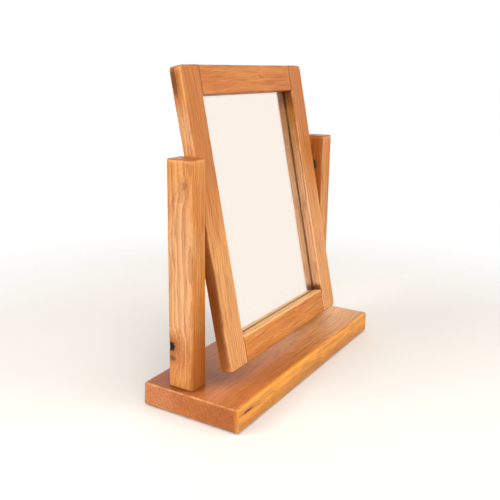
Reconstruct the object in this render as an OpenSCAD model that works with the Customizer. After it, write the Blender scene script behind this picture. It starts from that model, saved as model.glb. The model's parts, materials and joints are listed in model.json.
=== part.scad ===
// Swing mirror for a counter or a dressing table. A plank base carries two square posts, and a
// wooden frame with a deeply recessed mirror turns between them on two hidden pivot bolts.
// Millimetres. +X is the viewer's right, -Y is the front and +Z is up.
// The origin is under the middle of the base, on the surface that the pads rest on.

/* [Base] */
// Width of the base plank, left to right
base_w = 500; // [470:5:560]
// Depth of the base plank, front to back
base_d = 176; // [160:2:220]
// Thickness of the base plank
base_t = 38; // [30:0.5:45]
// Rounding of the base plank's edges
base_r = 3; // [1:0.5:5]
// Diameter of a felt pad under the base
pad_d = 22; // [16:1:30]
// Thickness of a felt pad
pad_t = 1.5; // [1:0.5:3]

/* [Posts] */
// Width of a post, left to right
post_w = 36; // [34:1:42]
// Depth of a post, front to back
post_d = 45; // [38:1:60]
// Height of a post above the base
post_h = 355; // [330:5:400]
// Distance from a post's outer face to the end of the base
post_inset = 12.5; // [5:0.5:25]
// How far the posts stand behind the middle of the base
post_back = 24; // [0:1:30]
// Rounding of a post's edges
post_r = 2; // [1:0.5:4]

/* [Mirror frame] */
// Height of the mirror frame, measured along it
frame_h = 472; // [440:2:478]
// Thickness of the mirror frame, front to back
frame_t = 21; // [20.5:0.5:26]
// Width of a stile
stile_w = 48.5; // [46:0.5:60]
// Height of the top rail
top_rail_h = 46; // [42:1:60]
// Height of the bottom rail
bottom_rail_h = 44; // [42:1:60]
// Rounding of the frame's long edges
frame_r = 2; // [1:0.5:4]
// Rounding of the frame's four corners, seen from the front
corner_r = 6; // [2:1:10]
// Gap between the frame and a post
frame_gap = 8; // [7:0.5:12]
// Lean of the frame, top backwards, in degrees
tilt = 11.6; // [0:0.1:30]
// Height of the pivots above the base
pivot_h = 299; // [292:1:315]
// How far the pivots stand behind the middle of the posts
pivot_back = 2; // [0:0.5:6]
// Distance along the frame from its bottom edge to the pivots
pivot_reach = 283; // [240:1:286]

/* [Mirror] */
// Depth of the wooden lip in front of the glass
lip = 17; // [14:0.5:17]
// Width of the rebate that the glass lies in
rebate_w = 8; // [6:0.5:10]
// Thickness of the glass
glass_t = 3; // [2.5:0.5:3]
// Thickness of the backing board
board_t = 3; // [2.5:0.5:4]
// Distance from the backing board's edge to the frame's edge
board_margin = 12; // [10:1:16]

/* [Pivots] */
// Shank diameter of a pivot bolt
bolt_d = 6; // [5:0.5:6]
// Shank length of a pivot bolt
bolt_len = 40; // [38:0.5:41]
// Outer diameter of a rubber friction washer
rubber_d = 25; // [19:1:26]
// Diameter of the wooden plug that hides a bolt's head
plug_d = 16; // [15:1:18]

/* [Hidden] */
$fn = 64;
SIDES = [["left", -1], ["right", 1]];
ENDS = [["top", 1], ["bottom", -1]];
DEPTHS = [["front", -1], ["back", 1]];
SIDE_PARTS = ["post", "post_screws", "pivot_bush", "head_washer", "wood_plug", "stile",
              "pivot_bolt", "thread_insert", "frame_washer", "rubber_washer", "spring_washer"];

oak = "#d08a4c";
light_oak = "#dba05f";
steel = "#b9bcc0";
brass = "#c9a24d";

play = 0.05;                // clearance round or along a pin, a screw or a washer
past = 1;                   // how far a cutter reaches past the face that it opens

base_top = pad_t + base_t;
pad_inset = 24;             // from the base's edges to the middle of a pad
post_x = base_w/2 - post_inset - post_w/2;
post_in = post_x - post_w/2;
post_out = post_x + post_w/2;

post_screw_r = 2.5;
post_screw_len = 70;
post_screw_spread = 11;     // from a post's middle to each of its two screws
post_screw_sink = 3;        // how deep a head lies in the underside of the base
post_screw_tip = 6;
post_head_r = 5;
post_head_h = 2.8;

// The frame's own axes: 0 at the pivots, X and Z along the frame, Y through it
frame_side = post_in - frame_gap;           // a stile's outer face
frame_w = 2*frame_side;
frame_bottom = -pivot_reach;
frame_top = frame_h - pivot_reach;
frame_mid = (frame_top + frame_bottom)/2;
open_w = frame_w - 2*stile_w;
open_bottom = frame_bottom + bottom_rail_h;
open_top = frame_top - top_rail_h;
open_h = open_top - open_bottom;
open_mid = (open_top + open_bottom)/2;
front_y = -frame_t/2;
back_y = frame_t/2;
lip_y = front_y + lip;
pivot_y = post_back + pivot_back;
pivot_z = base_top + pivot_h;

glass_play = 1;             // room between the glass and the rebate's sides
glass_w = open_w + 2*(rebate_w - glass_play);
glass_h = open_h + 2*(rebate_w - glass_play);
packing_w = 6;
board_w = frame_w - 2*board_margin;
board_h = frame_h - 2*board_margin;

dowel_r = 4;
dowel_reach = 20;           // how far a dowel goes into the stile, and into the rail
dowel_spread = 10.5;        // from a rail's middle line to each of its two dowels

board_screw_r = 1.6;
board_screw_len = 12;
board_head_r = 3.3;
board_head_h = 2.2;
board_screw_in = 7.5;       // from the board's edge to its screws
stile_screws = [-195, -65, 65, 195];    // heights from the middle of the frame
rail_screws = [-60, 60];                // from the middle of the frame's width

bolt_r = bolt_d/2;
head_r = 5;
head_h = 6;
socket_across = 5;          // across the flats of the hexagon socket
socket_depth = 3;
insert_r = 5;
insert_len = 15;
frame_washer_r = 9;
frame_washer_t = 1.5;
bush_r = 4.5;
flange_r = 9;
flange_t = 1.5;
pocket_depth = 20;          // the counterbore in a post's outer face
plug_len = 8;
head_washer_r = 7;
head_washer_t = 1.2;
spring_r = 5.6;
spring_t = 1.6;
spring_slit = 1;
pocket_floor = post_out - pocket_depth;
head_seat = pocket_floor + head_washer_t + play + spring_t;

// ---------- shapes that repeat ----------

// A rectangle about the origin with round corners
module rounded_rect(w, h, r) {
    square([w - 2*r, h], center = true);
    square([w, h - 2*r], center = true);
    for (x = [-1, 1], y = [-1, 1])
        translate([x*(w/2 - r), y*(h/2 - r)]) circle(r);
}

// A block about the origin: long edges rounded by r, the corners of its X-Z face by front_r
module rounded_block(w, d, h, r, front_r) {
    intersection() {
        rotate([90, 0, 0]) linear_extrude(d, center = true) rounded_rect(w, h, front_r);
        linear_extrude(h, center = true) rounded_rect(w, d, r);
        rotate([90, 0, 90]) linear_extrude(w, center = true) rounded_rect(d, h, r);
    }
}

// A box given by its lowest and highest corners
module box(low, high) {
    translate(low) cube(high - low);
}

// A round bar along Z
module rod(r, from, to) {
    translate([0, 0, from]) cylinder(h = to - from, r = r);
}

// A flat ring about Z
module ring(r_out, r_in, from, to) {
    difference() {
        rod(r_out, from, to);
        rod(r_in, from - past, to + past);
    }
}

// The crossed slots in a screw's head, opening downwards at Z = 0
module cross_slots(reach, width, depth) {
    for (turn = [0, 90]) rotate(turn)
        box([-reach, -width/2, -past], [reach, width/2, depth]);
}

// Children drawn in the frame's own axes, put in place and leaned back
module leaning() {
    translate([0, pivot_y, pivot_z]) rotate([-tilt, 0, 0]) children();
}

// Children drawn along Z, laid along the pivot axis and pointing out to one side
module along_pivot(side) {
    translate([0, pivot_y, pivot_z]) rotate([0, side*90, 0]) children();
}

// ---------- base and posts ----------

module at_post_screws(side) {
    for (y = [-1, 1])
        translate([side*post_x, post_back + y*post_screw_spread, pad_t]) children();
}

module base_board() {
    color(oak) difference() {
        translate([0, 0, pad_t + base_t/2]) rounded_block(base_w, base_d, base_t, base_r, base_r);
        for (side = [-1, 1]) at_post_screws(side) {
            rod(post_screw_r + play, 0, base_t + past);
            rod(post_head_r + play, -past, post_screw_sink);
            translate([0, 0, post_screw_sink])
                cylinder(h = post_head_h, r1 = post_head_r + play, r2 = post_screw_r + play);
        }
    }
}

module pad(side, depth) {
    color("#6b5a4a") translate([side*(base_w/2 - pad_inset), depth*(base_d/2 - pad_inset), 0])
        cylinder(h = pad_t, d = pad_d);
}

module post(side) {
    color(light_oak) difference() {
        translate([side*post_x, post_back, base_top]) intersection() {
            translate([0, 0, (post_h - post_r)/2])
                rounded_block(post_w, post_d, post_h + post_r, post_r, post_r);
            box([-post_w, -post_d, 0], [post_w, post_d, post_h + past]);
        }
        at_post_screws(side) rod(post_screw_r + play, base_t - past, post_screw_len + 5);
        along_pivot(side) {
            rod(bush_r + play, post_in - past, pocket_floor + past);
            rod(plug_d/2, pocket_floor, post_out + past);
        }
    }
}

module post_screws(side) {
    color(steel) at_post_screws(side) translate([0, 0, post_screw_sink]) difference() {
        union() {
            cylinder(h = post_head_h, r1 = post_head_r, r2 = post_screw_r);
            rod(post_screw_r, post_head_h, post_screw_len - post_screw_tip);
            translate([0, 0, post_screw_len - post_screw_tip])
                cylinder(h = post_screw_tip, r1 = post_screw_r, r2 = 0.4);
        }
        cross_slots(2.6, 1.1, 2);
    }
}

// ---------- mirror frame ----------

// The whole frame as one board with the rebate cut in its back, before it is parted
module frame_blank() {
    difference() {
        translate([0, 0, frame_mid])
            rounded_block(frame_w, frame_t, frame_h, frame_r, corner_r);
        box([-open_w/2 - rebate_w, lip_y, open_bottom - rebate_w],
            [open_w/2 + rebate_w, frame_t, open_top + rebate_w]);
    }
}

// The height of a rail's middle line
function rail_mid(end) = end > 0 ? frame_top - top_rail_h/2 : frame_bottom + bottom_rail_h/2;

module at_dowels(side, end) {
    for (z = [-1, 1]) translate([side*open_w/2, 0, rail_mid(end) + z*dowel_spread])
        rotate([0, 90, 0]) children();
}

module dowel_holes(side, end) {
    at_dowels(side, end) rod(dowel_r + play, -dowel_reach - past, dowel_reach + past);
}

module at_board_screws() {
    for (side = [-1, 1]) {
        for (z = stile_screws)
            translate([side*(board_w/2 - board_screw_in), back_y, frame_mid + z])
                rotate([-90, 0, 0]) children();
        for (x = rail_screws)
            translate([x, back_y, frame_mid + side*(board_h/2 - board_screw_in)])
                rotate([-90, 0, 0]) children();
    }
}

module board_screw_holes() {
    at_board_screws() rod(board_screw_r + play, board_t - board_screw_len - past, board_t + past);
}

module stile(side) {
    color(light_oak) leaning() difference() {
        intersection() {
            frame_blank();
            translate([side*(open_w + stile_w)/2, 0, frame_mid])
                cube([stile_w, 2*frame_t, 2*frame_h], center = true);
        }
        for (end = [-1, 1]) dowel_holes(side, end);
        rotate([0, side*90, 0])
            rod(insert_r + play, frame_side - insert_len - past, frame_side + past);
        board_screw_holes();
    }
}

module rail(end) {
    rail_h = end > 0 ? top_rail_h : bottom_rail_h;
    color(oak) leaning() difference() {
        intersection() {
            frame_blank();
            translate([0, 0, rail_mid(end)]) cube([open_w, 2*frame_t, rail_h], center = true);
        }
        for (side = [-1, 1]) dowel_holes(side, end);
        board_screw_holes();
    }
}

module dowels(side, end) {
    color("#e3c08c") leaning() at_dowels(side, end) rod(dowel_r, -dowel_reach, dowel_reach);
}

// ---------- mirror and its backing ----------

module mirror_glass() {
    color("#e8eef0") leaning() translate([0, lip_y + glass_t/2, open_mid])
        cube([glass_w, glass_t, glass_h], center = true);
}

// Four strips of foam that hold the glass against the lip
module glass_packing() {
    y = [lip_y + glass_t, back_y];
    w = glass_w/2;
    h = glass_h/2;
    color("#4a4a48") leaning() translate([0, 0, open_mid]) for (s = [-1, 1]) {
        translate([s*(w - packing_w/2), (y[0] + y[1])/2, 0])
            cube([packing_w, y[1] - y[0], 2*h], center = true);
        translate([0, (y[0] + y[1])/2, s*(h - packing_w/2)])
            cube([2*(w - packing_w - play), y[1] - y[0], packing_w], center = true);
    }
}

module backing_board() {
    color("#8a6a4a") leaning() difference() {
        translate([0, back_y + board_t/2, frame_mid]) cube([board_w, board_t, board_h], center = true);
        board_screw_holes();
    }
}

module backing_screws() {
    color(steel) leaning() at_board_screws() translate([0, 0, board_t]) difference() {
        union() {
            rod(board_screw_r, -board_screw_len, past);
            cylinder(h = board_head_h, r1 = board_head_r, r2 = board_head_r - 1);
        }
        translate([0, 0, board_head_h]) mirror([0, 0, 1]) cross_slots(1.9, 0.8, 1.2);
    }
}

// ---------- pivots ----------

// Pressed into the post from its inner face; the flange faces the rubber washer
module pivot_bush(side) {
    color(brass) along_pivot(side) difference() {
        union() {
            rod(flange_r, post_in - flange_t, post_in);
            rod(bush_r, post_in - flange_t, pocket_floor);
        }
        rod(bolt_r + play, post_in - flange_t - past, pocket_floor + past);
    }
}

module head_washer(side) {
    color(steel) along_pivot(side)
        ring(head_washer_r, bolt_r + play, pocket_floor, pocket_floor + head_washer_t);
}

module wood_plug(side) {
    color(oak) along_pivot(side) rod(plug_d/2 - play, post_out - plug_len, post_out);
}

module pivot_bolt(side) {
    color(steel) along_pivot(side) difference() {
        union() {
            rod(bolt_r, head_seat - bolt_len, head_seat + past);
            rod(head_r, head_seat, head_seat + head_h);
        }
        translate([0, 0, head_seat + head_h - socket_depth])
            cylinder(h = socket_depth + past, d = socket_across/cos(30), $fn = 6);
    }
}

module spring_washer(side) {
    color(steel) along_pivot(side) difference() {
        ring(spring_r, bolt_r + play, head_seat - spring_t, head_seat);
        translate([bolt_r, 0, head_seat - spring_t/2]) rotate([30, 0, 0])
            cube([2*spring_r, spring_slit, 4*spring_t], center = true);
    }
}

module rubber_washer(side) {
    color("#1d1c1b") along_pivot(side)
        ring(rubber_d/2, bolt_r + play, frame_side + frame_washer_t, post_in - flange_t - play);
}

module frame_washer(side) {
    color(steel) along_pivot(side)
        ring(frame_washer_r, bolt_r + play, frame_side, frame_side + frame_washer_t);
}

module thread_insert(side) {
    color(brass) along_pivot(side)
        ring(insert_r, bolt_r + play, frame_side - insert_len, frame_side);
}

// ---------- assembly ----------

base_board();
mirror_glass();
glass_packing();
backing_board();
backing_screws();
for (s = SIDES) {
    post(s[1]);
    post_screws(s[1]);
    stile(s[1]);
    pivot_bush(s[1]);
    head_washer(s[1]);
    wood_plug(s[1]);
    pivot_bolt(s[1]);
    spring_washer(s[1]);
    rubber_washer(s[1]);
    frame_washer(s[1]);
    thread_insert(s[1]);
    for (e = ENDS)
        dowels(s[1], e[1]);
    for (d = DEPTHS)
        pad(s[1], d[1]);
}
for (e = ENDS)
    rail(e[1]);
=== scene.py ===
"""Looks of a wooden swing mirror for a counter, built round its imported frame. Lengths are in metres."""
import json
import math

import bmesh
import bpy
import numpy as np
from mathutils import Matrix, Vector, noise


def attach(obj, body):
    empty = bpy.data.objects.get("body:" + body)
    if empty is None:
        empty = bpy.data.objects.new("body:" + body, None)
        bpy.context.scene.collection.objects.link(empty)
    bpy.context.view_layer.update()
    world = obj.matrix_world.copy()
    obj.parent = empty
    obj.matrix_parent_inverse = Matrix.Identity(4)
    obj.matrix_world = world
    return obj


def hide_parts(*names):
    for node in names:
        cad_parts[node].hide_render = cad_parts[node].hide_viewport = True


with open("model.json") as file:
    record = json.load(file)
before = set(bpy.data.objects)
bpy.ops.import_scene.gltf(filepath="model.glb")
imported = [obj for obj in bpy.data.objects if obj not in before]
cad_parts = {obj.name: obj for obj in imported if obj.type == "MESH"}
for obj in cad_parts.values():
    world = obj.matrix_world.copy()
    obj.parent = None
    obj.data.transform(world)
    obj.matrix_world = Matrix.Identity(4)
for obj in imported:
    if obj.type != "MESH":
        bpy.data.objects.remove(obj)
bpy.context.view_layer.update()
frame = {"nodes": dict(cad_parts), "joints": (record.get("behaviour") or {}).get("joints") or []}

MM = 0.001
SLIVER = 0.004 * MM      # edges shorter than this are melted after a Boolean
INSET = 0.05 * MM        # how far inside its CAD board a wooden face lies at the least
WAVE_DEPTH = 0.16 * MM   # how much deeper the dips of a hand-rubbed face go
BORE = 3.06 * MM         # the bore round a 6 mm bolt, in every part that it passes through
NODES = frame["nodes"]
SIDES = {"left": -1, "right": 1}
STAND = "stand"
SWING = "mirror_frame"

# ---------- places ----------

pivot = Vector(frame["joints"][0]["pos_m"])


def lean_of(node):
    """How far a flat slab leans back, from the normal of its largest face that looks forward."""
    faces = [p for p in NODES[node].data.polygons if p.normal.y < 0]
    front = max(faces, key=lambda p: p.area)
    return math.atan2(front.normal.z, -front.normal.y)


# The mirror frame's own axes: 0 at the pivots, X and Z along the frame, Y through it
LEANING = Matrix.Translation(pivot) @ Matrix.Rotation(-lean_of("mirror_glass"), 4, "X")
UPRIGHT = Matrix.Identity(4)


def points_of(mesh, place):
    """A mesh's vertices in the axes of a place."""
    co = np.empty(len(mesh.vertices) * 3)
    mesh.vertices.foreach_get("co", co)
    back = np.array(place.inverted())
    return co.reshape(-1, 3) @ back[:3, :3].T + back[:3, 3]


def own_box(node, place):
    """The lowest and highest corners of a CAD node in the axes of a place."""
    co = points_of(NODES[node].data, place)
    return co.min(0), co.max(0)


# Each pivot's axes: Z runs outwards along the pivot, from the middle of the mirror
PIVOT_AXES = {name: Matrix.Translation((0, pivot.y, pivot.z)) @ Matrix.Rotation(side * math.pi / 2, 4, "Y")
              for name, side in SIDES.items()}


def stand_for(piece, node, body):
    """The piece takes a CAD node's place on a body."""
    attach(piece, body)
    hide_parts(node)
    return piece


# ---------- mesh tools ----------

def new_piece(name, verts, faces, place=UPRIGHT):
    """A mesh object whose vertices are given in the axes of a place."""
    mesh = bpy.data.meshes.new(name)
    mesh.from_pydata([place @ Vector(v) for v in verts], [], faces)
    mesh.validate()
    piece = bpy.data.objects.new(name, mesh)
    bpy.context.scene.collection.objects.link(piece)
    return piece


def settle(piece):
    """Applies a piece's modifiers to its mesh."""
    depsgraph = bpy.context.evaluated_depsgraph_get()
    mesh = bpy.data.meshes.new_from_object(piece.evaluated_get(depsgraph))
    piece.modifiers.clear()
    piece.data = mesh


def shade(piece, angle=35):
    """Smooth shading, with edges sharper than the angle kept crisp."""
    mesh = piece.data
    mesh.polygons.foreach_set("use_smooth", [True] * len(mesh.polygons))
    mesh.set_sharp_from_angle(angle=math.radians(angle))


def lattice_box(lines):
    """A closed box of quads on the three lists of grid lines, as vertices and faces."""
    last = [len(axis_lines) - 1 for axis_lines in lines]
    index, verts, faces = {}, [], []

    def vert(ijk):
        if ijk not in index:
            index[ijk] = len(verts)
            verts.append([lines[a][ijk[a]] for a in range(3)])
        return index[ijk]

    for axis in range(3):
        u, v = (axis + 1) % 3, (axis + 2) % 3
        for side in (0, last[axis]):
            for i in range(last[u]):
                for j in range(last[v]):
                    ring = []
                    for di, dj in ((0, 0), (1, 0), (1, 1), (0, 1)):
                        ijk = [side] * 3
                        ijk[u], ijk[v] = i + di, j + dj
                        ring.append(vert(tuple(ijk)))
                    faces.append(ring if side else ring[::-1])
    return np.array(verts), faces


def round_off(points, half, arris):
    """Rounds a lattice box off along its edges. It gives the points and which way is out at each."""
    core = np.clip(points, arris - half, half - arris)
    out = (points - core) / arris
    out /= np.linalg.norm(out, axis=1)[:, None]
    return core + arris * out, out


def combine(piece, other, operation):
    """Applies an exact Boolean with another object to a piece, and melts the slivers that it leaves."""
    cut = piece.modifiers.new("cut", "BOOLEAN")
    cut.operation = operation
    cut.solver = "EXACT"
    cut.object = other
    settle(piece)
    work = bmesh.new()
    work.from_mesh(piece.data)
    bmesh.ops.dissolve_degenerate(work, dist=SLIVER, edges=work.edges)
    work.to_mesh(piece.data)
    work.free()


def grid_lines(half, arris, step, extra=()):
    """Grid lines from -half to half: dense where the arris is rounded, a step apart between."""
    turn = [math.tan(math.radians(45 * k / 4)) for k in range(5)]
    end = [half - arris + arris * t for t in turn]
    flat = half - arris
    count = max(1, round(2 * flat / step))
    middle = [-flat + 2 * flat * k / count for k in range(1, count)]
    middle = [m for m in middle if all(abs(m - e) > step / 3 for e in extra)]
    lines = [-e for e in end] + end + middle
    for e in extra:
        if abs(e) < flat and all(abs(e - line) > 0.2 * MM for line in lines):
            lines.append(e)
    return sorted(lines)


def skin(rings, closed=False):
    """Faces over rings of vertex numbers, each ring a step further up. A ring of one is a tip."""
    faces = []
    for low, high in zip(rings, rings[1:] + rings[:1] if closed else rings[1:]):
        count = max(len(low), len(high))
        for k in range(count):
            n = (k + 1) % count
            if len(low) == 1:
                faces.append((low[0], high[n], high[k]))
            elif len(high) == 1:
                faces.append((low[k], low[n], high[0]))
            else:
                faces.append((low[k], low[n], high[n], high[k]))
    return faces


def turned(profile, steps=48, closed=False, thread=None):
    """A solid turned about Z from (radius, height) points, as vertices and faces. It starts and ends
    on the axis, or is a closed loop. thread is (start, end, pitch, root radius) of a winding groove."""
    verts, rings = [], []
    for radius, height in profile:
        count = steps if radius > 0 else 1
        rings.append(list(range(len(verts), len(verts) + count)))
        for k in range(count):
            cut = groove(radius, height, k / steps, *thread) if thread else 0
            angle = 2 * math.pi * k / steps
            verts.append(((radius - cut) * math.cos(angle), (radius - cut) * math.sin(angle), height))
    return verts, skin(rings, closed)


def groove(radius, height, turn, start, end, pitch, root):
    """How deep a V thread cuts in at a height and a turn, running out at both ends."""
    if not start < height < end or radius < root:
        return 0
    phase = (height / pitch - turn) % 1
    run_out = min(1, (height - start) / pitch, (end - height) / pitch)
    return (radius - root) * run_out * (1 - abs(2 * phase - 1))


def section(r_in, r_out, low, high, round_in, round_out):
    """The loop of (radius, height) points of a flat ring with round edges."""
    points = []
    corners = ((r_out, low, -90, round_out), (r_out, high, 0, round_out),
               (r_in, high, 90, round_in), (r_in, low, 180, round_in))
    for r, h, start, edge in corners:
        inward = edge if r == r_out else -edge
        upward = -edge if h == high else edge
        for k in range(5):
            a = math.radians(start + 22.5 * k)
            points.append((r - inward + edge * math.cos(a), h + upward + edge * math.sin(a)))
    return points


def islands(node, place):
    """The lowest and highest corners of each separate solid of a CAD node, in a place's axes."""
    mesh = NODES[node].data
    parent = list(range(len(mesh.vertices)))

    def root(v):
        while parent[v] != v:
            parent[v] = parent[parent[v]]
            v = parent[v]
        return v

    co = points_of(mesh, place)
    met = {}
    for v, spot in enumerate(map(tuple, np.round(co / MM, 3))):
        parent[root(v)] = root(met.setdefault(spot, v))
    for edge in mesh.edges:
        a, b = edge.vertices
        parent[root(a)] = root(b)
    roots = np.array([root(v) for v in range(len(parent))])
    return [(co[roots == r].min(0), co[roots == r].max(0)) for r in sorted(set(roots))]


def copies(name, master, places):
    """One mesh object that holds a copy of a master's mesh at each place."""
    verts, faces = [], []
    for place in places:
        first = len(verts)
        verts += [place @ v.co for v in master.data.vertices]
        faces += [[first + v for v in p.vertices] for p in master.data.polygons]
    bpy.data.objects.remove(master)
    return new_piece(name, verts, faces)


def smooth_noise(points, size, seed):
    """Noise from -1 to 1 at each point. Its waves are about size long, which may differ by axis."""
    scaled = points / np.array(size) + 17.3 * seed
    return np.array([noise.noise(Vector(p)) for p in scaled])


# ---------- node tools ----------

class Graph:
    """Short ways to add nodes to a new material, or to a world."""

    def __init__(self, name, world=None):
        self.owner = world or bpy.data.materials.new(name)
        self.owner.use_nodes = True
        self.tree = self.owner.node_tree

    def put(self, value, socket):
        if isinstance(value, bpy.types.NodeSocket):
            self.tree.links.new(value, socket)
        elif isinstance(value, (tuple, list)) and len(value) == 3 and socket.type == "RGBA":
            socket.default_value = (*value, 1)
        else:
            socket.default_value = value

    def node(self, kind, inputs=None, **settings):
        made = self.tree.nodes.new(kind)
        for key, value in settings.items():
            setattr(made, key, value)
        for key, value in (inputs or {}).items():
            self.put(value, made.inputs[key])
        return made

    def math(self, operation, *values):
        made = self.node("ShaderNodeMath", operation=operation)
        for socket, value in zip(made.inputs, values):
            self.put(value, socket)
        return made.outputs[0]

    def vector(self, operation, *values):
        made = self.node("ShaderNodeVectorMath", operation=operation)
        for socket, value in zip(made.inputs, values):
            self.put(value, socket)
        return made.outputs["Value" if operation in ("LENGTH", "DOT_PRODUCT") else "Vector"]

    def mix(self, factor, a, b, blend="MIX"):
        made = self.node("ShaderNodeMix", data_type="RGBA", blend_type=blend)
        for socket, value in zip((made.inputs[0], made.inputs[6], made.inputs[7]), (factor, a, b)):
            self.put(value, socket)
        return made.outputs[2]

    def place(self):
        """The shaded point in the piece's own axes, in metres."""
        return self.node("ShaderNodeTexCoord").outputs["Object"]

    def noise(self, vector, scale=1.0, detail=2.0, roughness=0.5):
        made = self.node("ShaderNodeTexNoise", {"Vector": vector, "Scale": scale, "Detail": detail,
                                                "Roughness": roughness})
        return made.outputs["Fac"]

    def cells(self, scale):
        """How far the point is from the middle of its cell, for a weave or for foam."""
        made = self.node("ShaderNodeTexVoronoi", {"Vector": self.place(), "Scale": scale})
        return made.outputs["Distance"]

    def span(self, value, low, high, to_low=0.0, to_high=1.0):
        """Maps low..high to to_low..to_high with smooth ends."""
        made = self.node("ShaderNodeMapRange", interpolation_type="SMOOTHSTEP")
        for key, v in zip(range(5), (value, low, high, to_low, to_high)):
            self.put(v, made.inputs[key])
        return made.outputs["Result"]

    def finish(self, bump_height=None, bump_depth=0.0002, bump_strength=1.0, **values):
        """Sets the shader's inputs, given with _ for each space, and returns the material."""
        shader = self.tree.nodes["Principled BSDF"]
        for key, value in values.items():
            self.put(value, shader.inputs[key.replace("_", " ")])
        if bump_height is not None:
            made = self.node("ShaderNodeBump", {"Height": bump_height, "Distance": bump_depth,
                                                "Strength": bump_strength})
            self.put(made.outputs["Normal"], shader.inputs["Normal"])
        return self.owner


def srgb(hex_colour):
    """A #rrggbb colour as linear red, green and blue."""
    parts = [int(hex_colour[i:i + 2], 16) / 255 for i in (1, 3, 5)]
    return tuple(c / 12.92 if c <= 0.04045 else ((c + 0.055) / 1.055) ** 2.4 for c in parts)


# ---------- wood ----------

# A rubbed arris is paler, partly from rubbing and partly as a painted highlight
WORN_AND_HIGHLIT_ARRIS = "#f0b974"
KNOT_HALO = "#7c3f1c"
KNOT_HEART = "#170c06"


def wood(name, along, half_length, light, dark, deep, pith, ring=5.0, contrast=0.3, knots=(), zones=(),
         mild="#d8a76e", warm="#cd7534", streak=0.45, rub_and_highlight=0.5, end_dark=0.7, seed=0):
    """Waxed solid wood, in mm. It reads two attributes: grain, the point in the board with X along
    the grain, and one that is 1 on a rubbed arris, which places paler rubbing and a painted highlight.
    pith is where the heart runs, across the grain. A knot is (centre, radii, darkness, pit depth), and a
    zone (centre, radii, colour, strength); some zones are tones of the wood, others painted light and
    shade."""
    g = Graph(name)
    order = [along, (along + 1) % 3, (along + 2) % 3]
    metres = g.node("ShaderNodeAttribute", attribute_name="grain").outputs["Vector"]
    point = g.vector("MULTIPLY", metres, (1 / MM,) * 3)
    arris_wear_and_highlight = g.node("ShaderNodeAttribute", attribute_name="arris_wear_and_highlight").outputs["Fac"]

    # The fibres wander gently from side to side along the board
    sway = g.node("ShaderNodeTexNoise", {"Vector": g.vector("MULTIPLY", point, (0.009, 0.012, 0.012)),
                                         "Scale": 1.0, "Detail": 2.0})
    sway = g.vector("MULTIPLY", g.vector("SUBTRACT", sway.outputs["Color"], (0.5,) * 3), (0, 14, 14))
    flow = g.vector("ADD", point, sway)

    def stretched(x, across, shift):
        """Where to read a noise with x waves per mm along the grain and across waves per mm over it.
        A shift of its own keeps each layer of the wood apart from the others."""
        moved = g.vector("ADD", flow, (shift + 231.7 * seed, shift * 1.7, shift * 0.6 + 9.1 * seed))
        return g.vector("MULTIPLY", moved, (x, across, across))

    def distance(centre, radii, uneven_by):
        """How far off an uneven ellipsoid is: 1 on its surface."""
        offset = g.vector("SUBTRACT", point, tuple(centre[a] for a in order))
        offset = g.vector("MULTIPLY", offset, tuple(1 / radii[a] for a in order))
        uneven = g.math("MULTIPLY_ADD", g.noise(point, 1.1 / min(radii), 3), uneven_by,
                        1 - uneven_by / 2)
        return g.math("MULTIPLY", g.vector("LENGTH", offset), uneven)

    # Growth rings: the distance from the heart, swollen round each knot
    apart = g.node("ShaderNodeSeparateXYZ", {"Vector": flow})
    across = g.node("ShaderNodeCombineXYZ", {"Y": g.math("ADD", apart.outputs["Y"], -pith[0]),
                                             "Z": g.math("ADD", apart.outputs["Z"], -pith[1])})
    ripple = g.math("MULTIPLY_ADD", g.noise(stretched(0.02, 0.1, 40), detail=3), 5.0, -2.5)
    radius = g.math("ADD", g.vector("LENGTH", across.outputs["Vector"]), ripple)
    core, halo = 0.0, 0.0
    for centre, radii, darkness, _ in knots:
        away = distance(centre, radii, 1.0)
        swell = g.math("EXPONENT", g.math("MULTIPLY", g.math("MULTIPLY", away, away), -0.14))
        radius = g.math("ADD", radius, g.math("MULTIPLY", swell, 2.4 * min(radii) * darkness))
        core = g.math("MAXIMUM", core, g.math("MULTIPLY", g.span(away, 1.1, 0.6), darkness))
        halo = g.math("MAXIMUM", halo, g.math("MULTIPLY", g.span(away, 2.8, 0.9), darkness))
    turns = g.math("FRACT", g.math("DIVIDE", radius, ring))
    late = g.math("MULTIPLY", g.span(turns, 0.1, 0.86), g.span(turns, 1.0, 0.92))

    # Broad bands, warm and mild streaks, ring lines, fibres and pores, all along the grain
    bands = g.span(g.noise(stretched(0.006, 0.045, 7), detail=3, roughness=0.6), 0.35, 0.65)
    colour = g.mix(bands, srgb(light), srgb(dark))
    streaks = g.noise(stretched(0.008, 0.16, 21), detail=3, roughness=0.6)
    colour = g.mix(g.span(streaks, 0.52, 0.72, 0.0, streak), colour, srgb(warm))
    pale = g.noise(stretched(0.006, 0.1, 94), detail=2)
    colour = g.mix(g.span(pale, 0.54, 0.7, 0.0, streak), colour, srgb(mild))
    # Zones: tones of the wood, and the painted light and shade that some boards' zones hold
    for centre, radii, tone, strength in zones:
        inside = g.math("MULTIPLY", g.span(distance(centre, radii, 0.4), 1.25, 0.5), strength)
        colour = g.mix(inside, colour, srgb(tone))
    shade_lines = g.noise(stretched(0.012, 0.42, 66), detail=4, roughness=0.6)
    colour = g.mix(g.span(shade_lines, 0.48, 0.72, 0.0, 0.6), colour, srgb(deep))
    colour = g.mix(g.math("MULTIPLY", late, contrast), colour, srgb(deep))
    fibres = g.noise(stretched(0.05, 1.5, 55), detail=5, roughness=0.7)
    colour = g.mix(g.span(fibres, 0.25, 0.7, 0.25, 0.0), colour, srgb(deep))
    pores = g.span(g.noise(stretched(0.13, 3.0, 12), detail=1), 0.64, 0.74)
    colour = g.mix(g.math("MULTIPLY", pores, 0.4), colour, srgb(deep))
    stains = g.noise(g.vector("MULTIPLY", point, (0.012, 0.05, 0.05)), detail=5, roughness=0.7)
    colour = g.mix(g.span(stains, 0.56, 0.8, 0.0, 0.6), colour, srgb(deep))
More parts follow.
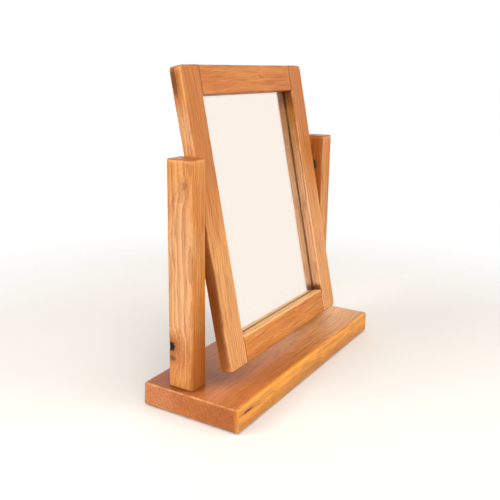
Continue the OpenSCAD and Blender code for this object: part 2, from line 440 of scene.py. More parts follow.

    # Rubbed arrises are paler in places, from rubbing and a painted highlight, end grain is darker, and
    # knots are nearly black
    rubbed = g.noise(g.vector("MULTIPLY", point, (0.02, 0.05, 0.05)), detail=3)
    length = g.math("ABSOLUTE", g.node("ShaderNodeSeparateXYZ", {"Vector": point}).outputs["X"])
    end = g.span(length, half_length / MM - 3.2, half_length / MM - 0.8)
    # Paler arrises: rubbing and a painted highlight
    worn_and_highlit_here = g.math("MULTIPLY", arris_wear_and_highlight, g.span(rubbed, 0.38, 0.62, 0.1 * rub_and_highlight, rub_and_highlight))
    colour = g.mix(worn_and_highlit_here, colour, srgb(WORN_AND_HIGHLIT_ARRIS))
    colour = g.mix(g.math("MULTIPLY", end, end_dark), colour, srgb(deep))
    if knots:
        colour = g.mix(g.math("MULTIPLY", halo, 0.55), colour, srgb(KNOT_HALO))
        colour = g.mix(core, colour, srgb(KNOT_HEART))

    relief = g.math("MULTIPLY_ADD", pores, -0.7, g.math("MULTIPLY", fibres, 0.6))
    relief = g.math("MULTIPLY_ADD", late, 0.3, relief)
    rough = g.math("MULTIPLY_ADD", fibres, 0.2, g.math("MULTIPLY_ADD", late, -0.05, 0.38))
    rough = g.math("MULTIPLY_ADD", core, 0.5, rough)
    return g.finish(Base_Color=colour, Roughness=rough, Specular_IOR_Level=0.25,
                    Coat_Weight=0.1, Coat_Roughness=0.3,
                    bump_height=relief, bump_depth=0.12 * MM, bump_strength=0.6)


def give_grain(piece, points, along, worn_and_highlit):
    """Stores where each vertex lies in its board, with the grain first, and how rubbed it is, which also
    places a painted arris highlight.
    """
    order = [along, (along + 1) % 3, (along + 2) % 3]
    grain = piece.data.attributes.new("grain", "FLOAT_VECTOR", "POINT")
    grain.data.foreach_set("vector", points[:, order].astype(np.float32).ravel())
    arris_wear_and_highlight = piece.data.attributes.new("arris_wear_and_highlight", "FLOAT", "POINT")
    arris_wear_and_highlight.data.foreach_set("value", worn_and_highlit.astype(np.float32))


def knot_lines(knots, axis, half):
    """Grid lines that are dense round each knot which has a pit."""
    lines = []
    for centre, radii, _, depth in knots:
        on_face = abs(centre[axis]) * MM > half[axis] - 1 * MM
        if depth and not on_face:
            lines += [(centre[axis] + radii[axis] * k / 4) * MM for k in range(-6, 7)]
    return lines


def board(name, node, place, along, arris_of, body, slot, seed, step=6 * MM, extra=((), (), ()),
          corner=0.0, knots=(), **look):
    """A sawn and hand-rubbed board in place of a CAD one. It keeps the CAD board's holes and
    rebates, and lies just inside its faces. arris_of gives the rounding along X, Y and Z at each
    point, measured from the board's middle; corner rounds the outer corners seen from the front."""
    low, high = own_box(node, place)
    middle, half = (low + high) / 2, (high - low) / 2
    widest = arris_of(np.array([[0.0, 0.0, 0.0]]), half)[0]
    lines = [grid_lines(half[a], max(widest[a], 1.0 * MM), step,
                        (*extra[a], *knot_lines(knots, a, half))) for a in range(3)]
    points, faces = lattice_box(lines)
    arris = arris_of(points, half) * (1 + 0.22 * smooth_noise(points, 0.045, seed))[:, None]
    points, out = round_off(points, half, arris)
    wave = 0.5 + 0.5 * smooth_noise(points, 0.09, seed + 5)
    points -= out * (INSET + WAVE_DEPTH * wave)[:, None]
    for centre, radii, _, depth in knots:
        away = np.linalg.norm((points / MM - centre) / radii, axis=1)
        pit = depth * MM * rise(-away * (1 + 0.3 * smooth_noise(points, 0.004, seed)), -1.2, -0.2)
        points -= out * pit[:, None]
    if corner:
        centre = half - corner
        u, v = np.abs(points[:, 0]) - centre[0], np.abs(points[:, 2]) - centre[2]
        outer = (points[:, 0] * np.sign(middle[0]) > 0) & (u > 0) & (v > 0)
        pull = np.where(outer, np.maximum(u, v) / np.maximum(np.hypot(u, v), 1e-9), 1)
        for axis, part in ((0, u), (2, v)):
            pulled = np.sign(points[:, axis]) * (centre[axis] + part * pull)
            points[:, axis] = np.where(outer, pulled, points[:, axis])
    piece = new_piece(name, points + middle, faces, place)
    combine(piece, NODES[node], "INTERSECT")

    points = points_of(piece.data, place) - middle
    inset = np.sort(half - np.abs(points), axis=1)[:, 1]
    rounding = arris_of(points, half).min(axis=1)
    # How rubbed each point is, which also places the painted arris highlight
    worn_and_highlit = np.exp(-(inset / (2.2 * MM)) ** 2) * np.clip(rounding / (2 * MM), 0, 1)
    give_grain(piece, points, along, worn_and_highlit)
    piece.data.materials.clear()
    piece.data.materials.append(wood(f"wood_{name}", along, half[along], knots=knots, seed=seed, **look))
    shade(piece)
    return stand_for(piece, node, body)


def sized(points, x, y, z):
    """Roundings along X, Y and Z as one row for each point."""
    return np.stack([np.broadcast_to(part, len(points)) for part in (x, y, z)], axis=1).astype(float)


def rise(value, start, end):
    """0 below start, 1 above end, and smooth between."""
    t = np.clip((value - start) / (end - start), 0, 1)
    return t * t * (3 - 2 * t)


def base_arris(points, half):
    size = 3.1 * MM + 1.6 * MM * rise(points[:, 2], -half[2], half[2])
    return sized(points, size, size, size)


def post_arris(points, half):
    end = np.where(points[:, 2] > 0, 2.8 * MM, 0.4 * MM)
    return sized(points, 3.0 * MM, 3.0 * MM, end)


def stile_arris(side, joint_bottom, joint_top):
    """Crisp where the rails butt against the inner side, soft along the opening and outside."""
    def arris_of(points, half):
        z = points[:, 2]
        open_here = rise(z, joint_bottom, joint_bottom + 1 * MM) * rise(-z, -joint_top, 1 * MM - joint_top)
        inner = 0.3 * MM + 1.8 * MM * open_here
        size = inner + (2.9 * MM - inner) * rise(side * points[:, 0], -half[0] / 2, half[0] / 2)
        return sized(points, size, size, 2.9 * MM)
    return arris_of


def rail_arris(outer):
    """Crisp at both ends, where it butts against the stiles, and softest on the outer edge, which is
    the top one where outer is 1 and the bottom one where it is -1."""
    def arris_of(points, half):
        size = 2.2 * MM + 0.7 * MM * rise(outer * points[:, 2], -half[2], half[2])
        return sized(points, 0.3 * MM, size, size)
    return arris_of


BASE_LOOK = dict(light="#c47537", dark="#b26028", deep="#74350f", pith=(150, -60), ring=7.0,
                 contrast=0.2, warm="#b55e2b", mild="#c28555", streak=0.4, rub_and_highlight=0.65, end_dark=0.1)
POST_LOOK = dict(light="#dd974a", dark="#c97a32", deep="#824212", contrast=0.36, streak=0.65)
FRAME_LOOK = dict(light="#d2893e", dark="#be702a", deep="#80400d", contrast=0.28, streak=0.5)


def build_stand():
    """The base and the posts. Zones and knots are in mm, from the middle of their board."""
    # The base's golden front face: partly a sapwood tone, partly a painted warm bounce light
    sapwood_and_painted_bounce_front = ((0, -91, 0), (420, 12, 60), "#ea992d", 0.95)
    # Painted shade: the front face darker and browner towards its bottom edge
    painted_bounce_shade_low_front = ((0, -91, -24), (420, 14, 26), "#bd7821", 0.9)
    # The top face a deeper, redder brown than the front
    deep_red_top_tone = ((20, -20, 24), (410, 150, 12), "#b3682a", 0.9)
    shaded_foot = ((-215, 45, 23), (110, 75, 10), "#7a3a16", 0.65)
    # Painted shadow of the bottom rail's right end on the top, drawn as a darker streak along the grain
    painted_rail_shadow_streak = ((118, 0, 24), (125, 28, 10), "#8a4013", 0.55)
    # Painted sheen: the far end of the top paler, as if it caught a bright backdrop
    painted_sheen_far_end = ((260, 0, 23), (330, 140, 10), "#dba46c", 0.9)
    # Painted light on the left end: paler at the back, darker at the front, as from a lamp at the back left
    painted_light_back_end = ((-252, 80, 0), (7, 60, 50), "#cc875a", 0.6)
    painted_shade_front_end = ((-252, -75, 0), (7, 75, 50), "#92501f", 0.5)
    # Painted contact shade on the top round the left post's foot
    painted_contact_shade_round_post = ((-219, 26, 22), (31, 35, 8), "#6a2c0a", 0.85)
    crack = ((-223, -88, 8), (15, 2, 1.3), 1.0, 1.2)
    board("base_plank", "base_board", UPRIGHT, 0, base_arris, STAND, "base_wood", seed=1, step=7 * MM,
          knots=(crack,), zones=(deep_red_top_tone, shaded_foot, painted_sheen_far_end, painted_rail_shadow_streak, painted_contact_shade_round_post,
                                 painted_light_back_end, painted_shade_front_end, sapwood_and_painted_bounce_front, painted_bounce_shade_low_front),
          **BASE_LOOK)
    # Painted shade: the left post's front face darker towards the base
    painted_shade_post_front_low = ((0, -26, -190), (34, 15, 150), "#9c5014", 0.8)
    swirl = ((-18, 8, -118), (6, 22, 36), "#b8662c", 0.55)
    # The left post's whole outer face made paler
    paler_outer_face = ((-20, 0, 10), (4, 40, 190), "#e2b184", 0.75)
    dusty_top = ((-6, 0, 180), (40, 60, 4), "#7d4a25", 0.7)
    # Painted shade on the right post's inner face, which the frame hides from the light
    painted_shade_inner_face = ((-19, 0, 90), (4, 40, 200), "#9a4516", 0.7)
    knots = {"left": (((-18, 17, -111), (4, 7, 9), 1.0, 1.5), ((-18, 15, -130), (4, 6, 5), 0.55, 0.8),
                      ((-18, -10, 140), (3, 4, 8), 0.35, 0.2)),
             "right": (((-18, 4, 30), (3, 4, 9), 0.7, 0.4),)}
    for name, side in SIDES.items():
        look = dict(POST_LOOK, pith=(-70, 35 * side), knots=knots[name], seed=3 + side,
                    zones=(paler_outer_face, painted_shade_post_front_low, swirl, dusty_top) if name == "left" else (painted_shade_inner_face, dusty_top))
        post = board(f"{name}_post_bar", f"{name}_post", UPRIGHT, 2, post_arris, STAND, "post_wood", **look)
        plug(name, side, post.data.materials[0])


def plug(name, side, material):
    """A face-grain plug over the bolt's head. It is cut from the post's own wood, so it nearly
    vanishes, and its grain is turned a little out of line with the post's."""
    low, high = own_box(f"{name}_wood_plug", PIVOT_AXES[name])
    radius = high[0] - INSET
    top = high[2] - 0.1 * MM
    edge = 0.12 * MM
    rim = [(radius - edge + edge * math.cos(a), top - 0.2 * MM + edge * math.sin(a))
           for a in (0, 0.4, 0.8, 1.2, math.pi / 2)]
    dome = [(radius * r, top - 0.08 * MM * r ** 2) for r in (0.9, 0.75, 0.6, 0.45, 0.3, 0.15)]
    profile = [(0, low[2]), (radius * 0.5, low[2]), (radius - 0.8 * MM, low[2]),
               (radius - 0.3 * MM, low[2] + 1 * MM), *rim, *dome, (0, top)]
    piece = new_piece(f"{name}_plug", *turned(profile, 56), PIVOT_AXES[name])
    low, high = own_box(f"{name}_post", UPRIGHT)
    points = points_of(piece.data, UPRIGHT) - (low + high) / 2
    turn = math.radians(5 * side)
    centre = points.mean(0)
    y, z = points[:, 1] - centre[1], points[:, 2] - centre[2]
    points[:, 1] = centre[1] + y * math.cos(turn) - z * math.sin(turn) + 1 * MM
    points[:, 2] = centre[2] + y * math.sin(turn) + z * math.cos(turn) + 4 * MM
    give_grain(piece, points, 2, np.zeros(len(points)))
    piece.data.materials.append(material)
    shade(piece)
    stand_for(piece, f"{name}_wood_plug", STAND)


def build_frame():
    """The mirror's wooden frame, with zones and knots measured as in the stand."""
    low, high = own_box("left_stile", LEANING)
    opening = (own_box("bottom_rail", LEANING)[1][2], own_box("top_rail", LEANING)[0][2])
    middle = (low[2] + high[2]) / 2
    joints = [z - middle for z in opening]
    lines = ((), (), tuple(j + d for j in joints for d in (-0.5 * MM, 0.5 * MM, 1.2 * MM, -1.2 * MM)))
    knots = {"left": (((-24, 4, 213), (4, 5, 24), 0.6, 0.3),), "right": ()}
    paler_foot = ((0, -12, -190), (70, 8, 220), "#e0a568", 0.65)
    # Painted light and shade on the stiles' sides. Left: a painted shadow of the post low on the outer
    # side, painted light on that side above the post, and painted shade along the inner arris. Right:
    # painted light low on the inner face, a painted shadow of the top rail at its top, and painted shade in
    # its bottom corner.
    painted_light_and_shade = {"left": (((-26, 2, -130), (3.5, 40, 180), "#6e340b", 0.9),
                    ((-26, 0, 142), (4, 40, 50), "#dba574", 0.8),
                    ((25, -9, 95), (4.5, 6, 140), "#7a3c14", 0.7)),
           "right": (((-25, -3, -110), (4, 30, 210), "#ffc08c", 0.95),
                     ((-25, -3, 200), (4, 30, 42), "#6f3410", 0.75),
                     ((-25, -3, -192), (4, 30, 13), "#4d1d05", 0.9))}
    browner_top = ((0, -12, 170), (70, 8, 170), "#b76e31", 0.7)
    for name, side in SIDES.items():
        look = dict(FRAME_LOOK, pith=(55 * side, -50), knots=knots[name], seed=8 + side,
                    zones=(paler_foot, browner_top, *painted_light_and_shade[name]))
        board(f"{name}_stile_bar", f"{name}_stile", LEANING, 2, stile_arris(side, *joints), SWING,
              "frame_wood", extra=lines, corner=7 * MM, **look)
    lit_lip = ((0, -2, 24), (420, 40, 5), "#ffc27c", 1.0)
    dusty_top = ((0, 0, 25), (400, 30, 4), "#7c3f12", 0.7)
    board("top_rail_bar", "top_rail", LEANING, 0, rail_arris(1), SWING, "frame_wood", seed=13,
          **dict(FRAME_LOOK, light="#c67d3a", dark="#ba6d2f", contrast=0.18, streak=0.25,
                 pith=(80, 40), zones=(dusty_top,)))
    board("bottom_rail_bar", "bottom_rail", LEANING, 0, rail_arris(-1), SWING, "frame_wood", seed=11,
          **dict(FRAME_LOOK, light="#d18535", dark="#c47328", contrast=0.18, streak=0.25,
                 pith=(80, -40), rub_and_highlight=0.8, zones=(lit_lip,)))


# ---------- mirror ----------

def slab(name, low, high, place):
    """A thin closed slab with a ground edge all round."""
    low, high = np.array(low), np.array(high)
    half, middle = (high - low) / 2, (high + low) / 2
    bevel = min(half) / 3
    points, faces = lattice_box([grid_lines(h, bevel, 60 * MM) for h in half])
    points, _ = round_off(points, half, bevel)
    piece = new_piece(name, points + middle, faces, place)
    shade(piece, 20)
    return piece


def build_mirror():
    """A clear pane with a thin silvered layer just behind it."""
    low, high = own_box("mirror_glass", LEANING)
    silver, gap = 0.15 * MM, 0.02 * MM
    g = Graph("clear_glass")
    smear = g.noise(g.place(), scale=9, detail=3)
    clear = g.finish(Base_Color=g.mix(smear, (0.98, 0.982, 0.98), (0.99, 0.99, 0.985)),
                     Transmission_Weight=1.0, IOR=1.5, Roughness=0.0)
    pane = slab("glass_pane", low, (high[0], high[1] - silver - gap, high[2]), LEANING)
    pane.data.materials.append(clear)
    g = Graph("silvering")
    cloud = g.noise(g.place(), scale=14, detail=4)
    mirror = g.finish(Base_Color=g.mix(cloud, (0.93, 0.93, 0.92), (0.96, 0.96, 0.95)), Metallic=1.0,
                      Roughness=0.0)
    back = slab("mirror_silvering", (low[0], high[1] - silver, low[2]), high, LEANING)
    back.data.materials.append(mirror)
    for piece in (pane, back):
        stand_for(piece, "mirror_glass", SWING)


# ---------- hardware ----------

def object_noise(g, scale, detail=3, roughness=0.55):
    """Noise with scale waves per metre, fixed to the piece."""
    return g.noise(g.place(), scale, detail, roughness)


def metal(name, colour, dull, roughness):
    g = Graph(name)
    cloud = object_noise(g, 900)
    return g.finish(Base_Color=g.mix(cloud, srgb(colour), srgb(dull)), Metallic=1.0,
                    Roughness=g.span(cloud, 0.3, 0.7, roughness - 0.08, roughness + 0.1),
                    bump_height=object_noise(g, 2600), bump_depth=0.01 * MM)


def rubber():
    g = Graph("black_rubber")
    dust = object_noise(g, 700, 5, 0.7)
    return g.finish(Base_Color=g.mix(g.span(dust, 0.5, 0.75), srgb("#161514"), srgb("#2c2a28")),
                    Roughness=g.span(dust, 0.3, 0.7, 0.55, 0.8),
                    bump_height=object_noise(g, 1800), bump_depth=0.03 * MM)


def felt():
    g = Graph("brown_felt")
    tufts = object_noise(g, 1500, 5, 0.75)
    return g.finish(Base_Color=g.mix(tufts, srgb("#46372b"), srgb("#7a6552")), Roughness=0.95,
                    Sheen_Weight=0.4, Sheen_Roughness=0.5, bump_height=tufts, bump_depth=0.25 * MM)


def hardboard():
    g = Graph("hardboard")
    weave = g.cells(700.0)
    blotch = object_noise(g, 14, 4)
    colour = g.mix(g.span(blotch, 0.3, 0.75), srgb("#7d5736"), srgb("#70492c"))
    colour = g.mix(g.math("MULTIPLY", g.span(object_noise(g, 500, 4, 0.7), 0.4, 0.7), 0.35), colour,
                   srgb("#54361f"))
    return g.finish(Base_Color=colour, Roughness=0.72, bump_height=weave, bump_depth=0.12 * MM)


def foam():
    g = Graph("grey_foam")
    cells = g.cells(1200.0)
    return g.finish(Base_Color=g.mix(cells, srgb("#2c2c2b"), srgb("#4a4a48")), Roughness=0.9,
                    bump_height=cells, bump_depth=0.2 * MM)


def beech():
    g = Graph("beech_dowel")
    fleck = g.noise(g.vector("MULTIPLY", g.place(), (90, 900, 900)))
    return g.finish(Base_Color=g.mix(fleck, srgb("#d9b583"), srgb("#b98d58")), Roughness=0.6,
                    bump_height=fleck, bump_depth=0.05 * MM)


def cross_cut(piece, height, reach, width, depth):
    """Cuts a cross recess with sloping ends into a screw's head, down from a height."""
    outline = ((-reach, -width), (reach, -width), (reach, width), (-reach, width))
    for turn in (0, 90):
        low = [(x * 0.45, y * 0.7, height - depth) for x, y in outline]
        high = [(x, y, height + 0.5 * MM) for x, y in outline]
        blade = new_piece("blade", low + high, [(3, 2, 1, 0), (4, 5, 6, 7), (0, 1, 5, 4), (1, 2, 6, 5),
                                                (2, 3, 7, 6), (3, 0, 4, 7)],
                          Matrix.Rotation(math.radians(turn), 4, "Z"))
        combine(piece, blade, "DIFFERENCE")
        bpy.data.objects.remove(blade)


def rise_by(start, end, step):
    """Heights from start to end, about a step apart."""
    count = max(1, round((end - start) / step))
    return [start + (end - start) * k / count for k in range(count + 1)]


def finish_part(piece, node, body, material, angle=35):
    piece.data.materials.append(material)
    shade(piece, angle)
    stand_for(piece, node, body)


def post_screws(name, steel):
    """Two long countersunk wood screws, driven up through the base into a post."""
    node = f"{name}_post_screws"
    places = []
    for low, high in islands(node, UPRIGHT):
        x, y = (low[0] + high[0]) / 2, (low[1] + high[1]) / 2
        places.append(Matrix.Translation((x, y, high[2])) @ Matrix.Rotation(math.pi, 4, "X"))
        length, head = high[2] - low[2], (high[0] - low[0]) / 2
    shank = head / 2
    threaded = (8 * MM, length * 0.66)
    profile = [(0, 0), (0.25 * MM, 0.05 * MM), (0.5 * MM, 0.5 * MM), (shank * 0.96, 6 * MM),
               *((shank, h) for h in rise_by(*threaded, 0.4 * MM)), (shank * 0.86, threaded[1] + 0.6 * MM),
               (shank * 0.86, length - 4 * MM), (shank, length - 2.8 * MM),
               (head * 0.98, length - 0.35 * MM), (head, length - 0.2 * MM), (head * 0.96, length),
               (head * 0.6, length), (0, length)]
    screw = new_piece("screw", *turned(profile, 24, thread=(*threaded, 2.8 * MM, 1.6 * MM)))
    cross_cut(screw, length, 2.6 * MM, 0.55 * MM, 2 * MM)
    finish_part(copies(f"{name}_long_screws", screw, places), node, STAND, steel)


def backing_screws(steel):
    """Small round-headed screws round the backing board."""
    places = []
    for low, high in islands("backing_screws", LEANING):
        x, z = (low[0] + high[0]) / 2, (low[2] + high[2]) / 2
        own_turn = 37 * len(places)
        places.append(LEANING @ Matrix.Translation((x, low[1], z)) @ Matrix.Rotation(-math.pi / 2, 4, "X")
                      @ Matrix.Rotation(own_turn, 4, "Z"))
        length, head = high[1] - low[1], (high[0] - low[0]) / 2
    under, shank = length - 2.2 * MM, 1.6 * MM
    dome = [(head * math.cos(a), under + 0.3 * MM + 1.85 * MM * math.sin(a))
            for a in (0, 0.25, 0.5, 0.75, 1.0, 1.25, 1.45)]
    profile = [(0, 0), (0.2 * MM, 0.1 * MM), (shank * 0.9, 2.4 * MM),
               *((shank, h) for h in rise_by(2.6 * MM, under - 1 * MM, 0.22 * MM)),
               (shank, under), (head * 0.96, under), *dome, (0, under + 2.15 * MM)]
    screw = new_piece("screw", *turned(profile, 24, thread=(2.5 * MM, under - 1 * MM, 1.3 * MM, 1.1 * MM)))
    cross_cut(screw, length, 1.9 * MM, 0.4 * MM, 1.2 * MM)
    finish_part(copies("board_screws", screw, places), "backing_screws", SWING, steel)


def pivot_hardware(name, steel, brass, black):
    """What turns on one pivot, from the insert in the stile out to the washer under the bolt's head."""
    place = PIVOT_AXES[name]

    def extent(part):
        low, high = own_box(f"{name}_{part}", place)
        return low[2], high[2], high[0]

    def turned_part(part, title, profile, body, slot, material, **how):
        piece = new_piece(f"{name}_{title}", *turned(profile, **how), place)
        finish_part(piece, f"{name}_{part}", body, material)

    low, high, radius = extent("thread_insert")
    heights = rise_by(low + 0.5 * MM, high - 1 * MM, 0.35 * MM)
    profile = [(BORE, low + 0.4 * MM), (BORE + 0.4 * MM, low), (radius * 0.9, low),
               *((radius, h) for h in heights), (radius, high - 0.2 * MM), (radius - 0.2 * MM, high),
               (BORE + 0.4 * MM, high), (BORE, high - 0.4 * MM),
               *((BORE, h) for h in heights[::-4])]
    turned_part("thread_insert", "insert", profile, SWING, "brass", brass, steps=32, closed=True,
                thread=(low + 0.3 * MM, high - 1 * MM, 2.4 * MM, 4.1 * MM))

    low, high, head = extent("pivot_bolt")
    shank, under = 3 * MM, high - 6 * MM
    threaded = (low + 0.6 * MM, low + 26 * MM)
    profile = [(0, low), (shank - 0.6 * MM, low), (shank, low + 0.6 * MM),
               *((shank, h) for h in rise_by(*threaded, 0.17 * MM)), (shank, under),
               (head - 0.2 * MM, under), (head, under + 0.2 * MM), (head, high - 0.5 * MM),
               (head - 0.4 * MM, high - 0.1 * MM), (head - 0.6 * MM, high), (head * 0.55, high), (0, high)]
    bolt = new_piece(f"{name}_bolt", *turned(profile, 24, thread=(*threaded, 1.0 * MM, 2.45 * MM)), place)
    corner = 2.89 * MM
    hexagon = [(corner * math.cos(math.pi * k / 3), corner * math.sin(math.pi * k / 3)) for k in range(6)]
    socket = new_piece("socket", [(x, y, h) for h in (high - 3 * MM, high + 1 * MM) for x, y in hexagon],
                       [(5, 4, 3, 2, 1, 0), (6, 7, 8, 9, 10, 11),
                        *((k, (k + 1) % 6, (k + 1) % 6 + 6, k + 6) for k in range(6))], place)
    combine(bolt, socket, "DIFFERENCE")
    bpy.data.objects.remove(socket)
    finish_part(bolt, f"{name}_pivot_bolt", SWING, steel)

    for part, title, body, edge in (("frame_washer", "steel_washer", SWING, 0.3 * MM),
                                    ("head_washer", "inner_washer", STAND, 0.25 * MM)):
        low, high, radius = extent(part)
        turned_part(part, title, section(BORE, radius, low, high, 0.15 * MM, edge), body, "zinc_steel",
                    steel, closed=True)

    low, high, radius = extent("rubber_washer")
    squeezed = [(r if r < 8 * MM else r - 0.5 * MM * abs(2 * (h - low) / (high - low) - 1) ** 2, h)
                for r, h in section(BORE, radius, low, high, 0.3 * MM, 0.9 * MM)]
    turned_part("rubber_washer", "friction_washer", squeezed, SWING, "black_rubber", black,
                steps=72, closed=True)

    low, high, radius = extent("pivot_bush")
    collar = section(BORE, radius, low, low + 1.5 * MM, 0.2 * MM, 0.35 * MM)
    wall = 4.45 * MM
    profile = [*collar[:9], (wall + 0.2 * MM, low + 1.5 * MM), (wall, low + 1.7 * MM),
               (wall, high - 0.5 * MM), (wall - 0.4 * MM, high), (BORE + 0.2 * MM, high),
               (BORE, high - 0.2 * MM), *collar[15:]]
    turned_part("pivot_bush", "bush", profile, STAND, "brass", brass, closed=True)

    # A split washer whose two ends are sprung apart
    low, high, radius = extent("spring_washer")
    sprung = 0.35 * MM
    spring = section(BORE, radius, low, high - sprung, 0.15 * MM, 0.2 * MM)
    steps, gap = 60, math.radians(14)
    verts, rings = [], []
    for k in range(steps + 1):
        angle = gap + (2 * math.pi - 2 * gap) * k / steps
        rings.append(list(range(len(verts), len(verts) + len(spring))))
        verts += [(r * math.cos(angle), r * math.sin(angle), h + sprung * k / steps) for r, h in spring]
    faces = [face[::-1] for face in skin(rings)] + [rings[0], rings[-1][::-1]]
    piece = new_piece(f"{name}_spring", verts, faces, place)
    finish_part(piece, f"{name}_spring_washer", SWING, steel)


def soft_pads(material):
    """Felt discs under the base, crowned, with a furry rim."""
    for depth in ("front", "back"):
        for side in SIDES:
            node = f"{depth}_{side}_pad"
            low, high = own_box(node, UPRIGHT)
            middle = (low + high) / 2
            radius, thick = (high[0] - low[0]) / 2, high[2] - low[2]
            profile = [(0, 0), (radius * 0.5, 0), (radius * 0.8, 0), (radius - 0.8 * MM, 0.02 * MM),
                       (radius - 0.3 * MM, 0.2 * MM), (radius - 0.05 * MM, 0.6 * MM), (radius, 1.0 * MM),
                       (radius - 0.05 * MM, thick - 0.1 * MM), (radius - 0.3 * MM, thick),
                       (radius * 0.5, thick), (0, thick)]
            verts, faces = turned(profile, 72)
            verts = np.array(verts)
            outward = np.clip(np.hypot(verts[:, 0], verts[:, 1]) / radius, 0, 1)
            fuzz = smooth_noise(verts, 0.9 * MM, 3) * outward
            verts[:, :2] *= (1 - 0.03 * np.abs(fuzz))[:, None]
            place = Matrix.Translation((middle[0], middle[1], low[2]))
            finish_part(new_piece(f"{depth}_{side}_felt", verts, faces, place), node, STAND, material)


def soft_block(name, node, low, high, edge, step, body, material, place, dent=0.0, seed=0):
    """A board or strip with rounded edges and a slightly uneven surface."""
    half, middle = (high - low) / 2, (high + low) / 2
    points, faces = lattice_box([grid_lines(h, min(edge, h * 0.8), step) for h in half])
    points, out = round_off(points, half, np.minimum(edge, half * 0.8))
    points -= out * (dent * (0.5 + 0.5 * smooth_noise(points, 0.02, seed)))[:, None]
    piece = new_piece(name, points + middle, faces, place)
    if node == "backing_board":
        combine(piece, NODES[node], "INTERSECT")
        piece.data.materials.clear()
    finish_part(piece, node, body, material)


def dowels(material):
    """Fluted beech dowels with chamfered ends, two in each corner of the mirror frame."""
    for end in ("top", "bottom"):
        for side in SIDES:
            node = f"{end}_{side}_dowels"
            places = []
            for low, high in islands(node, LEANING):
                middle = (low + high) / 2
                places.append(LEANING @ Matrix.Translation((low[0], middle[1], middle[2]))
                              @ Matrix.Rotation(math.pi / 2, 4, "Y"))
                length, radius = high[0] - low[0], (high[2] - low[2]) / 2
            steps, flutes = 72, 18
            verts, rings = [], []
            for height, inset in ((0, 1.0), (1.2, 0.1), (2.5, 0.0), (length / MM - 2.5, 0.0),
                                  (length / MM - 1.2, 0.1), (length / MM, 1.0)):
                rings.append(list(range(len(verts), len(verts) + steps)))
                for k in range(steps):
                    flute = 0.22 * MM * (0.5 - 0.5 * math.cos(2 * math.pi * flutes * k / steps))
                    r, a = radius - inset * MM - flute, 2 * math.pi * k / steps
                    verts.append((r * math.cos(a), r * math.sin(a), height * MM))
            faces = skin(rings) + [rings[0][::-1], rings[-1]]
            pin = new_piece("pin", verts, faces)
            finish_part(copies(f"{end}_{side}_pins", pin, places), node, SWING, material, 50)


def build_hardware():
    steel = metal("zinc_steel", "#c6c8cb", "#9b9da1", 0.32)
    brass = metal("brass", "#d9b262", "#a98238", 0.3)
    black = rubber()
    for name in SIDES:
        post_screws(name, steel)
        pivot_hardware(name, steel, brass, black)
    backing_screws(steel)
    soft_pads(felt())
    dowels(beech())
    low, high = own_box("backing_board", LEANING)
    soft_block("back_panel", "backing_board", low, high, 0.6 * MM, 12 * MM, SWING,
               hardboard(), LEANING, dent=0.08 * MM)
    sponge = foam()
    for index, (low, high) in enumerate(islands("glass_packing", LEANING)):
        soft_block(f"foam_strip_{index + 1}", "glass_packing", low, high, 0.3 * MM, 3 * MM, SWING,
                   sponge, LEANING, dent=0.1 * MM, seed=index)


# ---------- stage ----------

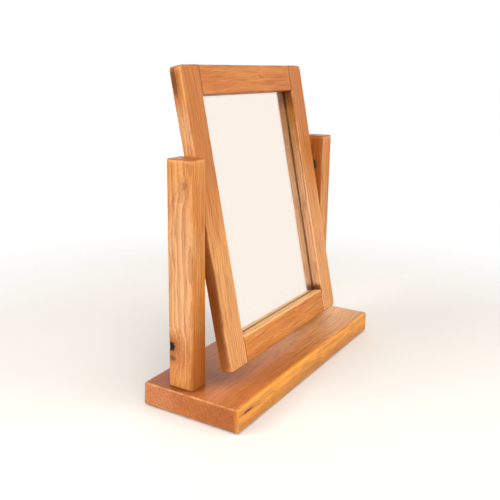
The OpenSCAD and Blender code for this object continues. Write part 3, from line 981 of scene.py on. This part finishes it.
def build_stage():
    """A pale round floor that fades out into the white surroundings, and soft light."""
    count, reach = 96, 4.0
    rim = [(reach * math.cos(2 * math.pi * k / count), reach * math.sin(2 * math.pi * k / count), 0)
           for k in range(count)]
    floor = new_piece("floor", rim, [list(range(count))])
    g = Graph("pale_floor")
    floor.data.materials.append(g.finish(
        Base_Color=(0.68, 0.655, 0.62), Roughness=0.7,
        Alpha=g.span(g.vector("LENGTH", g.place()), 0.42, 1.1, 1.0, 0.0)))

    # White behind the object, a soft grey that lights it, and in the mirror a room with a cream wall.
    # Rays that leave the glass pane see the room, because they are transmission rays.
    world = bpy.data.worlds.new("studio")
    bpy.context.scene.world = world
    g = Graph("studio", world)
    ray = g.node("ShaderNodeLightPath").outputs
    way = g.node("ShaderNodeTexCoord").outputs["Generated"]
    wall = g.span(g.vector("DOT_PRODUCT", way, (0.8, -0.6, 0.0)), 0.2, 0.85)
    room = g.mix(wall, (0.6, 0.61, 0.62), (1.08, 0.975, 0.895))
    light = g.mix(ray["Is Transmission Ray"], (0.42, 0.42, 0.42), room)
    g.put(g.mix(ray["Is Camera Ray"], light, (1.0, 1.0, 1.0)), g.tree.nodes["Background"].inputs["Color"])

    warm_white = (1.0, 0.98, 0.95)

    def soft_box(name, place, target, size, power, colour=warm_white):
        """A square lamp, size metres wide, that gives its power in watts."""
        light = bpy.data.lights.new(name, "AREA")
        light.shape = "SQUARE"
        light.size = size
        light.energy = power
        light.color = colour
        lamp = bpy.data.objects.new(name, light)
        lamp.location = place
        lamp.rotation_euler = (Vector(target) - Vector(place)).to_track_quat("-Z", "Y").to_euler()
        lamp.visible_camera = False
        lamp.visible_transmission = False
        bpy.context.scene.collection.objects.link(lamp)

    soft_box("overhead", (-0.3, -0.35, 2.2), (0, 0, 0.2), 0.9, 18)
    soft_box("back_left_key", (-1.7, 1.1, 1.5), (0, 0, 0.25), 1.3, 38)
    soft_box("front_key", (0.7, -2.1, 1.7), (0, 0, 0.25), 1.4, 31)
    soft_box("near_fill", (-1.9, -1.3, 1.1), (0, 0, 0.25), 1.6, 34)
    soft_box("white_wall", (2.4, 1.9, 0.9), (0, 0, 0.1), 2.8, 26, (1.0, 0.97, 0.95))
    soft_box("cream_card", (2.3, -1.7, 0.5), (0, 0, 0.3), 2.6, 14.0, (1.0, 0.84, 0.72))

    scene = bpy.context.scene
    scene.view_settings.view_transform = "Standard"
    lens = bpy.data.cameras.new("camera")
    lens.lens = 49.5
    lens.sensor_width = 36
    lens.shift_x = 0.044
    lens.shift_y = -0.014
    camera = bpy.data.objects.new("camera", lens)
    heading, pitch, roll = (math.radians(a) for a in (57.7, -14.37, 0.45))
    camera.matrix_world = (Matrix.Translation((-1.022, -0.556, 0.522))
                           @ Matrix.Rotation(-heading, 4, "Z")
                           @ Matrix.Rotation(math.pi / 2 + pitch, 4, "X")
                           @ Matrix.Rotation(roll, 4, "Z"))
    scene.collection.objects.link(camera)
    scene.camera = camera


build_stage()
build_stand()
build_frame()
build_mirror()
build_hardware()


def corners(box):
    return [[float(c) for c in corner] for corner in box]
